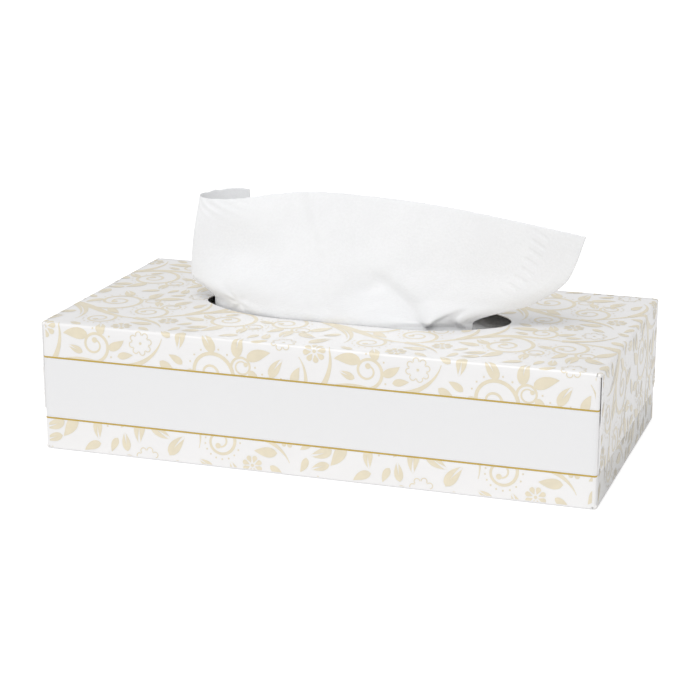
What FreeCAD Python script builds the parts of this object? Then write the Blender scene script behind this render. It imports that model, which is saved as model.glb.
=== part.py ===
"""A flat tissue box: a folded paperboard carton with an oval mouth, the interfolded stack inside it,
the lead tissue that stands up through the mouth, and the next tissue that follows it.

Millimetres, +X along the box, +Y to the back, +Z up. The origin is the middle of the underside."""
import FreeCAD
import Part
import Sketcher
import math
import os

VECTOR = FreeCAD.Vector

# Driving dimensions, in millimetres unless the comment says otherwise.
SIZES = [
    ("carton_length", 236.0),  # outside, end flap to end flap
    ("carton_width", 122.0),  # outside, front to back
    ("carton_height", 55.0),  # outside, table to top panel
    ("board", 0.45),  # thickness of the paperboard
    ("fold_inside", 0.55),  # radius inside each scored fold
    ("lap_height", 14.0),  # glue lap inside the back panel
    ("top_flap_reach", 40.5),  # outer end flap, down from the top
    ("bottom_flap_reach", 37.0),  # inner end flap, up from the table
    ("dust_flap_reach", 44.0),  # innermost end flaps, in from front and back
    ("flap_trim", 3.5),  # corner cut from the outer and inner end flaps
    ("dust_trim", 9.0),  # corner cut from the dust flaps
    ("flap_play", 0.35),  # from a flap's side to the fold beside it
    ("mouth_length", 134.0),  # oval mouth, along the box
    ("mouth_width", 48.0),  # oval mouth, front to back
    ("mouth_straight", 48.0),  # straight run of the mouth's long sides
    ("mouth_end_radius", 12.0),  # round end of the mouth
    ("sheet_length", 208.0),  # tissue, along the box
    ("leaf_width", 106.0),  # half of a tissue, from its fold to its edge
    ("stack_height", 45.0),  # sheets still folded away
    ("stack_folds", 50.0),  # folds on each long side of the stack, a count
    ("sheet_gap", 0.1),  # air between one sheet and what it lies on
    ("sheet_thick", 0.4),  # two soft plies
    ("tissue_rise", 51.0),  # from the top panel to the highest point of the lead tissue
    ("tissue_spread", 171.0),  # width of the lead tissue at its upper edge
    ("soft_fold_depth", 1.2),  # how far the lead tissue's soft folds stand in and out
    ("next_rise", 5.0),  # how far the next tissue is drawn up off the stack
]

# The lead tissue seen from above, from its free edge at the back, round the left end, to its free
# edge at the right. At the mouth the numbers are parts of half the mouth's length and width.
MOUTH_PATH = [
    (-0.62, 0.36), (-0.76, 0.38), (-0.875, 0.22), (-0.945, -0.05), (-0.87, -0.44),
    (-0.69, -0.72), (-0.45, -0.9), (-0.18, -0.93), (0.09, -0.94), (0.33, -0.92),
    (0.54, -0.83), (0.69, -0.66), (0.79, -0.47),
]
# Above the mouth they are parts of half the tissue's spread and of half the mouth's width.
SHOULDER_PATH = [
    (-0.49, 0.5), (-0.655, 0.52), (-0.8, 0.33), (-0.87, 0.0), (-0.8, -0.38),
    (-0.63, -0.6), (-0.42, -0.71), (-0.18, -0.75), (0.07, -0.71), (0.29, -0.65),
    (0.51, -0.54), (0.725, -0.42), (0.91, -0.27),
]
MIDDLE_PATH = [
    (-0.515, 0.58), (-0.665, 0.58), (-0.805, 0.35), (-0.86, 0.0), (-0.795, -0.29),
    (-0.61, -0.4), (-0.385, -0.46), (-0.14, -0.48), (0.12, -0.44), (0.36, -0.4),
    (0.62, -0.35), (0.865, -0.33), (1.085, -0.33),
]
TOP_PATH = [
    (-0.54, 0.58), (-0.665, 0.56), (-0.785, 0.33), (-0.83, 0.04), (-0.77, -0.21),
    (-0.6, -0.23), (-0.36, -0.21), (-0.12, -0.21), (0.14, -0.23), (0.4, -0.27),
    (0.67, -0.33), (0.925, -0.42), (1.17, -0.5),
]
# Height of the upper edge at each of those points, as a part of the rise.
TOP_EDGE = [0.87, 0.88, 0.885, 0.88, 0.89, 0.945, 0.98, 1.0, 0.99, 0.965, 0.92, 0.87, 0.815]
# The levels of those paths, in parts of the rise above the top panel, and the levels the sheet is
# drawn through. The first, below zero, is its root on the stack.
PATH_LEVELS = [0.0, 0.03, 0.22, 0.5, 1.0]
DRAWN_LEVELS = [0.0, 0.03, 0.09, 0.16, 0.22, 0.29, 0.38, 0.5, 0.65, 0.82, 1.0]
PATH_STEPS = 4
# The soft folds across the lead tissue: waves from end to end of the path, phase and share of the depth.
SOFT_FOLDS = [(4.3, 0.8, 0.75), (7.1, 2.1, 0.25)]

# The next tissue's leaf: its front edge and its crest, in parts of the mouth's width, the soft step
# back that keeps it clear of the lead tissue's wrapped end, and the crest's spread each way.
NEXT_FRONT, NEXT_STEP, NEXT_STEP_AT, NEXT_STEP_SOFT = -0.1, 0.51, -0.21, 0.0373
NEXT_CREST, NEXT_CREST_DEEP, NEXT_CREST_AT, NEXT_CREST_WIDE = 0.05, 0.2, 0.06, 0.21
NEXT_COLUMNS, NEXT_ROWS = 27, 9


class Size:
    """A length with the spreadsheet expression that gives it."""

    def __init__(self, text, value):
        self.text = text
        self.value = value

    @staticmethod
    def of(other):
        return other if isinstance(other, Size) else Size(repr(float(other)), float(other))

    def __add__(self, other):
        other = Size.of(other)
        return Size(f"({self.text} + {other.text})", self.value + other.value)

    def __sub__(self, other):
        other = Size.of(other)
        return Size(f"({self.text} - {other.text})", self.value - other.value)

    def __mul__(self, other):
        other = Size.of(other)
        return Size(f"({self.text} * {other.text})", self.value * other.value)

    def __truediv__(self, other):
        other = Size.of(other)
        return Size(f"({self.text} / {other.text})", self.value / other.value)

    def __neg__(self):
        return Size(f"(0 - {self.text})", -self.value)


def size_sheet(doc):
    """Writes the driving dimensions to a spreadsheet and returns them as Size objects by name."""
    sheet = doc.addObject("Spreadsheet::Sheet", "sizes")
    for row, (name, value) in enumerate(SIZES, start=1):
        sheet.set(f"A{row}", name)
        sheet.set(f"B{row}", str(value))
        sheet.setAlias(f"B{row}", name)
    doc.recompute()
    return {name: Size(f"sizes.{name}", float(sheet.get(name))) for name, _ in SIZES}


def new_body(doc, name):
    body = doc.addObject("PartDesign::Body", name)
    body.Label = name
    return body


def new_sketch(body, name, role):
    """A sketch on one of the body's own origin planes."""
    sketch = body.newObject("Sketcher::SketchObject", name)
    plane = [o for o in body.Origin.OriginFeatures if o.Role == role][0]
    sketch.AttachmentSupport = [(plane, "")]
    sketch.MapMode = "FlatFace"
    return sketch


def fix(sketch, kind, places, size, name):
    """Adds a dimension to a sketch and binds it to the spreadsheet."""
    sketch.addConstraint(Sketcher.Constraint(kind, *places, size.value))
    sketch.renameConstraint(sketch.ConstraintCount - 1, name)
    sketch.setExpression(f"Constraints.{name}", size.text)


def place_x(sketch, edge, end, size, name):
    """Fixes the x of an edge's end point (1 start, 2 end, 3 centre)."""
    fix(sketch, "DistanceX", (-1, 1, edge, end), size, name)


def place_y(sketch, edge, end, size, name):
    """Fixes the y of an edge's end point (1 start, 2 end, 3 centre)."""
    fix(sketch, "DistanceY", (-1, 1, edge, end), size, name)


def fold_centres(runs, outer_radius):
    """The centre of the fold between each two runs of a strip."""
    centres = []
    for here, there in zip(runs, runs[1:]):
        upright, level = (here, there) if here[0] == "V" else (there, here)
        x = upright[1].value + math.copysign(outer_radius, upright[2].value - upright[1].value)
        y = level[1].value + math.copysign(outer_radius, level[2].value - level[1].value)
        centres.append((x, y))
    return centres


def end_point(sketch, edge, end):
    """The start (1) or end (2) of a sketch's edge."""
    point = sketch.getPoint(edge, end)
    return VECTOR(point.x, point.y, 0)


def strip_side(sketch, runs, ends, centres, radius, side):
    """Draws one face of a folded strip: straight runs joined by arcs. Returns its first and last line.

    runs holds ("V" or "H", outer coordinate, inner coordinate) in order. Side 1 is the outer face and
    side 2 the inner one. ends holds the coordinates where the first and the last run stop."""
    label = ("outer", "inner")[side - 1]
    lines = []
    for i, run in enumerate(runs):
        upright = run[0] == "V"
        along = 1 if upright else 0
        place = run[side].value
        first = ends[0].value if i == 0 else centres[i - 1][along]
        last = ends[1].value if i == len(runs) - 1 else centres[i][along]
        here = VECTOR(place, first, 0) if upright else VECTOR(first, place, 0)
        there = VECTOR(place, last, 0) if upright else VECTOR(last, place, 0)
        edge = sketch.addGeometry(Part.LineSegment(here, there))
        sketch.addConstraint(Sketcher.Constraint("Vertical" if upright else "Horizontal", edge))
        (place_x if upright else place_y)(sketch, edge, 1, run[side], f"{label}_run_{i}")
        lines.append(edge)
    for i, centre in enumerate(centres):
        middle = VECTOR(centre[0], centre[1], 0)
        before = end_point(sketch, lines[i], 2) - middle
        after = end_point(sketch, lines[i + 1], 1) - middle
        left_turn = before.x * after.y - before.y * after.x > 0
        low = before if left_turn else after
        start = math.atan2(low.y, low.x)
        circle = Part.Circle(middle, VECTOR(0, 0, 1), radius.value)
        arc = sketch.addGeometry(Part.ArcOfCircle(circle, start, start + math.pi / 2))
        near, far = (1, 2) if left_turn else (2, 1)
        sketch.addConstraint(Sketcher.Constraint("Tangent", lines[i], 2, arc, near))
        sketch.addConstraint(Sketcher.Constraint("Tangent", lines[i + 1], 1, arc, far))
        fix(sketch, "Radius", (arc,), radius, f"{label}_fold_{i}")
    return lines[0], lines[-1]


def strip_sketch(body, name, role, runs, ends, fold):
    """A closed profile of a folded strip of board: both faces and the two cut edges."""
    sketch = new_sketch(body, name, role)
    outer_radius, inner_radius = fold
    centres = fold_centres(runs, outer_radius.value)
    outer = strip_side(sketch, runs, ends, centres, outer_radius, 1)
    inner = strip_side(sketch, runs, ends, centres, inner_radius, 2)
    for end, run, point in ((0, runs[0], 1), (1, runs[-1], 2)):
        here = end_point(sketch, outer[end], point)
        there = end_point(sketch, inner[end], point)
        cut = sketch.addGeometry(Part.LineSegment(here, there))
        sketch.addConstraint(Sketcher.Constraint("Coincident", cut, 1, outer[end], point))
        sketch.addConstraint(Sketcher.Constraint("Coincident", cut, 2, inner[end], point))
        upright = run[0] == "V"
        sketch.addConstraint(Sketcher.Constraint("Horizontal" if upright else "Vertical", cut))
        (place_y if upright else place_x)(sketch, cut, 1, ends[end], f"cut_{end}")
    return sketch


def outline_sketch(body, name, role, corners):
    """A closed outline of straight lines, each corner placed by its two sizes."""
    sketch = new_sketch(body, name, role)
    points = [VECTOR(x.value, y.value, 0) for x, y in corners]
    for here, there in zip(points, points[1:] + points[:1]):
        sketch.addGeometry(Part.LineSegment(here, there))
    for edge, (x, y) in enumerate(corners):
        sketch.addConstraint(Sketcher.Constraint("Coincident", edge, 2, (edge + 1) % len(corners), 1))
        place_x(sketch, edge, 1, x, f"x_{edge}")
        place_y(sketch, edge, 1, y, f"y_{edge}")
    return sketch


def pad(body, name, sketch, length, both_sides=True):
    """Pads a sketch, to both sides of its plane unless told otherwise."""
    feature = body.newObject("PartDesign::Pad", name)
    feature.Profile = sketch
    feature.SideType = "Symmetric" if both_sides else "One side"
    feature.setExpression("Length", length.text)
    return feature


def raise_sketch(sketch, height):
    """Moves a sketch along its plane's normal."""
    sketch.setExpression("AttachmentOffset.Base.z", height.text)


def mouth_sketch(body, s):
    """The oval mouth: two straight sides, four shallow arcs and two round ends."""
    sketch = new_sketch(body, "mouth_outline", "XY_Plane")
    raise_sketch(sketch, s["carton_height"])
    straight = (s["mouth_straight"] / 2).value
    half_width = (s["mouth_width"] / 2).value
    end = s["mouth_end_radius"].value
    end_centre = (s["mouth_length"] / 2).value - end
    run = end_centre - straight
    side = (run ** 2 + half_width ** 2 - end ** 2) / (2 * (half_width - end))
    lift = side - half_width
    turn = math.atan2(lift, run)
    quarter = math.pi / 2

    def arc(x, y, radius, start, stop):
        circle = Part.Circle(VECTOR(x, y, 0), VECTOR(0, 0, 1), radius)
        return sketch.addGeometry(Part.ArcOfCircle(circle, start, stop))

    def line(x1, y1, x2, y2):
        return sketch.addGeometry(Part.LineSegment(VECTOR(x1, y1, 0), VECTOR(x2, y2, 0)))

    front = line(-straight, -half_width, straight, -half_width)
    front_right = arc(straight, lift, side, -quarter, -turn)
    right = arc(end_centre, 0, end, -turn, turn)
    back_right = arc(straight, -lift, side, turn, quarter)
    back = line(straight, half_width, -straight, half_width)
    back_left = arc(-straight, -lift, side, quarter, math.pi - turn)
    left = arc(-end_centre, 0, end, math.pi - turn, math.pi + turn)
    front_left = arc(-straight, lift, side, math.pi + turn, 3 * quarter)
    ring = [front, front_right, right, back_right, back, back_left, left, front_left]
    for here, there in zip(ring, ring[1:] + ring[:1]):
        sketch.addConstraint(Sketcher.Constraint("Tangent", here, 2, there, 1))
    across, along = -2, -1
    sketch.addConstraint(Sketcher.Constraint("Symmetric", front, 1, front, 2, across))
    sketch.addConstraint(Sketcher.Constraint("Symmetric", back, 1, back, 2, across))
    sketch.addConstraint(Sketcher.Constraint("Symmetric", front, 2, back, 1, along))
    sketch.addConstraint(Sketcher.Constraint("PointOnObject", right, 3, along))
    sketch.addConstraint(Sketcher.Constraint("PointOnObject", left, 3, along))
    centre = s["mouth_length"] / 2 - s["mouth_end_radius"]
    place_x(sketch, right, 3, centre, "right_centre")
    place_x(sketch, left, 3, -centre, "left_centre")
    fix(sketch, "Radius", (right,), s["mouth_end_radius"], "right_radius")
    sketch.addConstraint(Sketcher.Constraint("Equal", right, left))
    place_x(sketch, front, 2, s["mouth_straight"] / 2, "straight_end")
    place_y(sketch, front, 2, -(s["mouth_width"] / 2), "front_side")
    return sketch


def flap_outline(low, high, tip, root, trim):
    """A flap that hangs or stands: its root edge, straight sides and a free edge with cut corners.

    low and high are its two sides, root and tip where it starts and ends."""
    inward = trim if tip.value > root.value else -trim
    return [
        (low, root),
        (high, root),
        (high, tip - inward),
        (high - trim, tip),
        (low + trim, tip),
        (low, tip - inward),
    ]


def make_carton(doc, s):
    """The carton: one blank of board, folded, lapped at the back and closed by four flaps at each end."""
    body = new_body(doc, "carton")
    board = s["board"]
    outer = board + s["fold_inside"]
    fold = (outer, s["fold_inside"])
    half_length = s["carton_length"] / 2
    half_width = s["carton_width"] / 2
    height = s["carton_height"]
    zero = board * 0
    sleeve_end = half_length - board * 3 - outer
    lap_root = half_width - board - outer * 2

    # The sleeve: bottom, front, top and back in one strip, and the glue lap inside the back.
    sleeve = [
        ("H", zero, board),
        ("V", -half_width, board - half_width),
        ("H", height, height - board),
        ("V", half_width, half_width - board),
    ]
    lap = [
        ("V", half_width - board, half_width - board * 2),
        ("H", zero, board),
    ]
    section = strip_sketch(body, "sleeve_section", "YZ_Plane", sleeve, (lap_root, board), fold)
    pad(body, "sleeve", section, sleeve_end * 2)
    section = strip_sketch(body, "lap_section", "YZ_Plane", lap, (s["lap_height"], lap_root), fold)
    pad(body, "glue_lap", section, sleeve_end * 2)

    # The flaps of one end. Each is a fold and a panel: the outer flap hangs from the top, the inner
    # one stands up from the bottom, and the dust flaps lie under both.
    top_width = s["carton_width"] - (outer + s["flap_play"]) * 2
    bottom_width = top_width - board * 2
    dust_width = height - (outer + s["flap_play"]) * 2
    flaps = []

    def add_flap(name, wall, face, width, role, offset, outline):
        """A flap from its wall's outer and inner face, its own outer face, and its outline."""
        inward = 1.0 if wall[1].value > wall[0].value else -1.0
        stop = wall[0] + (outer + board) * inward
        runs = [("H", wall[0], wall[1]), ("V", face, face - board)]
        sketch = strip_sketch(body, f"{name}_fold_section", role, runs, (sleeve_end, stop), fold)
        raise_sketch(sketch, offset)
        flaps.append(pad(body, f"{name}_fold", sketch, width))
        sketch = outline_sketch(body, f"{name}_outline", "YZ_Plane", outline)
        raise_sketch(sketch, face - board)
        flaps.append(pad(body, name, sketch, board, both_sides=False))

    root = height - outer - board
    tip = height - s["top_flap_reach"]
    outline = flap_outline(-(top_width / 2), top_width / 2, tip, root, s["flap_trim"])
    add_flap("top_flap", (height, height - board), half_length, top_width, "XZ_Plane", zero, outline)
    root = outer + board
    tip = s["bottom_flap_reach"]
    outline = flap_outline(-(bottom_width / 2), bottom_width / 2, tip, root, s["flap_trim"])
    face = half_length - board
    add_flap("bottom_flap", (zero, board), face, bottom_width, "XZ_Plane", zero, outline)
    face = half_length - board * 2
    low = outer + s["flap_play"]
    high = low + dust_width
    for name, side in (("front_dust_flap", -1.0), ("back_dust_flap", 1.0)):
        wall = half_width * side
        root = wall - (outer + board) * side
        tip = wall - s["dust_flap_reach"] * side
        turned = flap_outline(low, high, tip, root, s["dust_trim"])
        outline = [(y, x) for x, y in turned]
        faces = (wall, wall - board * side)
        add_flap(name, faces, face, dust_width, "XY_Plane", height / 2, outline)
    doc.recompute()

    mirror = body.newObject("PartDesign::Mirrored", "other_end")
    mirror.Originals = flaps
    middle = [o for o in body.Origin.OriginFeatures if o.Role == "YZ_Plane"][0]
    mirror.MirrorPlane = (middle, [""])
    body.Tip = mirror
    doc.recompute()

    mouth = body.newObject("PartDesign::Pocket", "mouth")
    mouth.Profile = mouth_sketch(body, s)
    mouth.setExpression("Length", (board * 3).text)
    body.Tip = mouth
    doc.recompute()
    if not mouth.Shape.Volume < mirror.Shape.Volume - 1.0:
        raise RuntimeError("the mouth cut nothing")
    return body


def make_stack(doc, s):
    """The sheets still folded away, as one block with a row of rounded folds down each long side."""
    body = new_body(doc, "tissue_stack")
    pitch = s["stack_height"] / s["stack_folds"]
    bulge = pitch / 2
    half = s["leaf_width"] / 2 - bulge
    base = s["board"] + s["sheet_gap"]
    top = base + s["stack_height"]
    corners = [(-half, base), (half, base), (half, top), (-half, top)]
    core = outline_sketch(body, "core_section", "YZ_Plane", corners)
    pad(body, "core", core, s["sheet_length"])
    doc.recompute()

    # The folds of the two sides interleave, half a pitch apart.
    rows = [
        ("front", -1.0, base + bulge, s["stack_folds"]),
        ("back", 1.0, base + pitch, s["stack_folds"] - 1),
    ]
    for name, side, first, count in rows:
        wall = half * side
        crown = wall + bulge * side * 0.9
        corners = [
            (wall, first - bulge),
            (crown, first - bulge * 0.45),
            (crown, first + bulge * 0.45),
            (wall, first + bulge),
        ]
        section = outline_sketch(body, f"{name}_fold_section", "YZ_Plane", corners)
        fold = pad(body, f"{name}_fold", section, s["sheet_length"])
        body.Tip = fold
        doc.recompute()
        row = body.newObject("PartDesign::LinearPattern", f"{name}_folds")
        row.Originals = [fold]
        up = [o for o in body.Origin.OriginFeatures if o.Role == "Z_Axis"][0]
        row.Direction = (up, [""])
        body.Tip = row
        row.setExpression("Length", (pitch * (count - 1)).text)
        row.setExpression("Occurrences", count.text)
        doc.recompute()
    return body


def smooth(knots, values, at):
    """A smooth curve through values at knots that never swings past them."""
    steps = [b - a for a, b in zip(knots, knots[1:])]
    rates = [(b - a) / step for a, b, step in zip(values, values[1:], steps)]
    slopes = [rates[0]]
    for left, right in zip(rates, rates[1:]):
        slopes.append(2 * left * right / (left + right) if left * right > 0 else 0.0)
    slopes.append(rates[-1])
    at = min(max(at, knots[0]), knots[-1])
    i = min(sum(1 for knot in knots[1:] if knot < at), len(steps) - 1)
    step = steps[i]
    part = (at - knots[i]) / step
    rise = values[i + 1] - values[i]
    start, end = slopes[i] * step, slopes[i + 1] * step
    return values[i] + part * (start + part * (3 * rise - 2 * start - end + part * (start + end - 2 * rise)))


def between(points, steps):
    """The points with evenly spaced ones between them, on a curve that passes through all of them."""
    out = []
    last = len(points) - 1
    for i in range(last):
        before, here = points[max(i - 1, 0)], points[i]
        there, after = points[i + 1], points[min(i + 2, last)]
        for k in range(steps):
            part = k / steps
            bend = (there - before) * part
            bend += (before * 2 - here * 5 + there * 4 - after) * part ** 2
            bend += (here * 3 - before - there * 3 + after) * part ** 3
            out.append(here + bend * 0.5)
    return out + [points[-1]]


def sheet_normals(rows):
    """The sheet's normal at each point of a grid."""
    normals = []
    for i, row in enumerate(rows):
        up, down = rows[min(i + 1, len(rows) - 1)], rows[max(i - 1, 0)]
        across = []
        for j in range(len(row)):
            along = row[min(j + 1, len(row) - 1)] - row[max(j - 1, 0)]
            across.append(along.cross(up[j] - down[j]).normalize())
        normals.append(across)
    return normals


def band(low, high):
    """The straight-ruled face between two curves that were drawn with the same parameters."""
    surface = Part.BSplineSurface()
    poles = [low.getPoles(), high.getPoles()]
    counts, knots = low.getMultiplicities(), low.getKnots()
    surface.buildFromPolesMultsKnots(poles, [2, 2], counts, [0.0, 1.0], knots, False, False, 1, low.Degree)
    return surface.toShape()


def curve_through(points):
    """A curve through points that are evenly spaced in its parameter."""
    curve = Part.BSplineCurve()
    curve.interpolate(Points=points, Parameters=[j / (len(points) - 1) for j in range(len(points))])
    return curve


def sheet_solid(rows, thick):
    """A soft sheet through rows of points, half its thickness to each side of them.

    It is smooth along each row and straight from each row to the next."""
    all_normals = sheet_normals(rows)
    skins = []
    for side in (0.5, -0.5):
        curves = []
        for row, normals in zip(rows, all_normals):
            points = [point + normal * (thick * side) for point, normal in zip(row, normals)]
            curves.append(curve_through(points))
        skins.append(curves)
    outer, inner = skins
    faces = [band(outer[0], inner[0]), band(outer[-1], inner[-1])]
    for curves in skins:
        faces += [band(low, high) for low, high in zip(curves, curves[1:])]
    for end in (0.0, 1.0):
        near, far = ([curve.value(end) for curve in curves] for curves in skins)
        for i in range(len(rows) - 1):
            faces.append(band(curve_through(near[i : i + 2]), curve_through(far[i : i + 2])))
    shell = Part.makeShell(faces)
    shell.sewShape()
    solid = Part.makeSolid(Part.Shell(shell.Faces))
    if solid.Volume < 0:
        solid.reverse()
    return solid


def add_shape(doc, name, shape):
    """Puts a computed shape in the document under its own name."""
    feature = doc.addObject("Part::Feature", name)
    feature.Shape = shape
    feature.Label = name
    feature.Placement = FreeCAD.Placement()
    return feature


def make_lead_tissue(doc, s):
    """The lead tissue: one leaf tucked flat on the stack, the other standing up through the mouth."""
    value = {name: size.value for name, size in s.items()}
    thick = value["sheet_thick"]
    low = value["board"] + value["sheet_gap"] * 2 + value["stack_height"]
    leaf = Part.makeBox(value["sheet_length"], value["leaf_width"], thick)
    leaf.translate(VECTOR(-value["sheet_length"] / 2, -value["leaf_width"] / 2, low))
    top = value["carton_height"]
    deep = value["mouth_width"] / 2
    above = value["tissue_spread"] / 2
    paths = []
    for path, half in (
        (MOUTH_PATH, value["mouth_length"] / 2),
        (MOUTH_PATH, value["mouth_length"] / 2),
        (SHOULDER_PATH, above),
        (MIDDLE_PATH, above),
        (TOP_PATH, above),
    ):
        paths.append(between([VECTOR(x * half, y * deep, 0) for x, y in path], PATH_STEPS))
    edge = between([VECTOR(0, 0, part) for part in TOP_EDGE], PATH_STEPS)
    count = len(edge)
    rim = paths[0]
    rows = []
    for height in (low + thick / 2, (low + thick + top) / 2, top - value["board"]):
        rows.append([VECTOR(point.x, point.y, height) for point in rim])
    for level in DRAWN_LEVELS:
        row = []
        for j in range(count):
            x = smooth(PATH_LEVELS, [path[j].x for path in paths], level)
            y = smooth(PATH_LEVELS, [path[j].y for path in paths], level)
            z = top + value["tissue_rise"] * level * (1 + (edge[j].z - 1) * level)
            row.append(VECTOR(x, y, z))
        rows.append(row)
    for row, normals, level in zip(rows[3:], sheet_normals(rows)[3:], DRAWN_LEVELS):
        reach = value["soft_fold_depth"] * math.sin(math.pi * level) * (1 - level / 2)
        for j in range(count):
            along = 2 * math.pi * j / (count - 1)
            wave = sum(share * math.sin(waves * along + phase) for waves, phase, share in SOFT_FOLDS)
            row[j] = row[j] + normals[j] * (reach * wave)
    riser = sheet_solid(rows, thick)
    return add_shape(doc, "lead_tissue", leaf.fuse(riser).removeSplitter())


def make_next_tissue(doc, s):
    """The next tissue: its upper leaf lies behind the lead tissue and is drawn up under the mouth."""
    value = {name: size.value for name, size in s.items()}
    thick = value["sheet_thick"]
    low = value["board"] + value["sheet_gap"] * 3 + value["stack_height"] + thick * 1.5
    back = value["leaf_width"] / 2
    half = value["sheet_length"] / 2
    long, deep = value["mouth_length"], value["mouth_width"]
    rows = []
    for i in range(NEXT_ROWS):
        row = []
        for j in range(NEXT_COLUMNS):
            x = -half + 2 * half * j / (NEXT_COLUMNS - 1)
            step = NEXT_STEP / (1 + math.exp((x / long - NEXT_STEP_AT) / NEXT_STEP_SOFT))
            front = (NEXT_FRONT + step) * deep
            y = front + (back - front) * i / (NEXT_ROWS - 1)
            along = math.exp(-((x / (2 * half) - NEXT_CREST_AT) / NEXT_CREST_WIDE) ** 4)
            across = math.exp(-((y / deep - NEXT_CREST) / NEXT_CREST_DEEP) ** 2)
            row.append(VECTOR(x, y, low + value["next_rise"] * along * across))
        rows.append(row)
    return add_shape(doc, "next_tissue", sheet_solid(rows, thick))


def main():
    doc = FreeCAD.newDocument("tissue_box")
    s = size_sheet(doc)
    parts = [
        make_carton(doc, s),
        make_stack(doc, s),
        make_lead_tissue(doc, s),
        make_next_tissue(doc, s),
    ]
    doc.recompute()
    for item in doc.Objects:
        bad = [state for state in item.State if state in ("Invalid", "Error")]
        if bad:
            raise RuntimeError(f"{item.Name}: {bad}")
    os.makedirs("parts", exist_ok=True)
    for item in parts:
        if item.Shape.isNull() or not item.Shape.isValid():
            raise RuntimeError(f"{item.Label}: its shape isn't valid")
        if len(item.Shape.Solids) != 1:
            raise RuntimeError(f"{item.Label}: {len(item.Shape.Solids)} solids, one wanted")
        item.Shape.exportStep(f"parts/{item.Label}.step")


main()
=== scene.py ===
"""Looks of a flat tissue box: printed paperboard carton, folded stack and soft two-ply tissues."""
import logging
import math
import random
from dataclasses import dataclass, field
from enum import Enum
from itertools import product
from typing import Callable, Iterable, Sequence

import bpy
from mathutils import Matrix, Vector


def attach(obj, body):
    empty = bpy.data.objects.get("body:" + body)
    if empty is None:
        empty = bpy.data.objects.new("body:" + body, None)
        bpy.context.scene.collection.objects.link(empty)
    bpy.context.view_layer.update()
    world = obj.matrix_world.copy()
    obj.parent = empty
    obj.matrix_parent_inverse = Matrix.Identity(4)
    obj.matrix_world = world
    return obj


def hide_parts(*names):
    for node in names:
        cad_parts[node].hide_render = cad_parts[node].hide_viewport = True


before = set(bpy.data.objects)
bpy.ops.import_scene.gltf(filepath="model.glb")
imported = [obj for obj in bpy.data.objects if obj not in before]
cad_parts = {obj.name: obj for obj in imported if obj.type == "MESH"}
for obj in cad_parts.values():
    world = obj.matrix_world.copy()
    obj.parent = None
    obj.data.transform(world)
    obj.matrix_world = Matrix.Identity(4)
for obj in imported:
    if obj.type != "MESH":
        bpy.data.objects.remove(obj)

LOG = logging.getLogger("tissue_box")
MM = 0.001
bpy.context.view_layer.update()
Colour = tuple[float, float, float]
Flat = tuple[float, float]
Face = list[Flat]
Way = tuple[float, float, float]  # a flat place and the way a line goes there, in radians


def deselect_all() -> None:
    """Leaves nothing selected and no object in edit mode."""
    if bpy.context.mode != "OBJECT":
        bpy.ops.object.mode_set(mode="OBJECT")
    bpy.ops.object.select_all(action="DESELECT")


def make_active(piece: bpy.types.Object) -> None:
    """Selects one object alone and makes it active.

    Args:
        piece: The object.
    """
    deselect_all()
    piece.select_set(True)
    bpy.context.view_layer.objects.active = piece


def mesh_piece(
    name: str, points: Sequence[Vector], faces: Sequence[Sequence[int]]
) -> bpy.types.Object:
    """Makes an object from points in millimetres and faces.

    Args:
        name: The piece's name.
        points: Its corners, in millimetres.
        faces: Its faces, as corner numbers.

    Returns:
        The new object, at the origin.
    """
    mesh = bpy.data.meshes.new(name)
    mesh.from_pydata([tuple(c * MM for c in point) for point in points], [], faces)
    mesh.update()
    piece = bpy.data.objects.new(name, mesh)
    bpy.context.scene.collection.objects.link(piece)
    return piece


def set_material(piece: bpy.types.Object, material: bpy.types.Material) -> None:
    """Gives a piece one material all over.

    Args:
        piece: The piece.
        material: Its only material from now on.
    """
    piece.data.materials.clear()
    piece.data.materials.append(material)
    for polygon in piece.data.polygons:
        polygon.material_index = 0


def operator(operation: str, swapped: bool = False) -> Callable[..., "Signal"]:
    """Makes the method behind one of Signal's operators.

    Args:
        operation: The Math node's operation.
        swapped: Whether the signal is the second value.

    Returns:
        The method.
    """
    def method(self: "Signal", *others: "Signal | float") -> "Signal":
        """Adds the Math node on this signal and the other values."""
        return self.tree.maths(operation, *((*others, self) if swapped else (self, *others)))

    return method


class Signal:
    """A shader socket that takes part in sums, products and comparisons, which give 1 or 0."""

    def __init__(self, tree: "Shader", socket: bpy.types.NodeSocket) -> None:
        """Wraps one output socket."""
        self.tree = tree
        self.socket = socket

    __add__ = __radd__ = operator("ADD")
    __sub__, __rsub__ = operator("SUBTRACT"), operator("SUBTRACT", True)
    __mul__ = __rmul__ = operator("MULTIPLY")
    __truediv__, __pow__ = operator("DIVIDE"), operator("POWER")
    __lt__, __gt__ = operator("LESS_THAN"), operator("GREATER_THAN")
    __abs__ = operator("ABSOLUTE")

    def repeat(self, length: float) -> "Signal":
        """Place within a repeat of the given length, from 0 to it."""
        return self.tree.maths("WRAP", self, length, 0.0)

    def step(self, low: float, high: float) -> "Signal":
        """Soft step from 0 at low to 1 at high."""
        settings = {"interpolation_type": "SMOOTHSTEP"}
        return self.tree.node("ShaderNodeMapRange", settings, {"Value": self, 1: low, 2: high})


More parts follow.
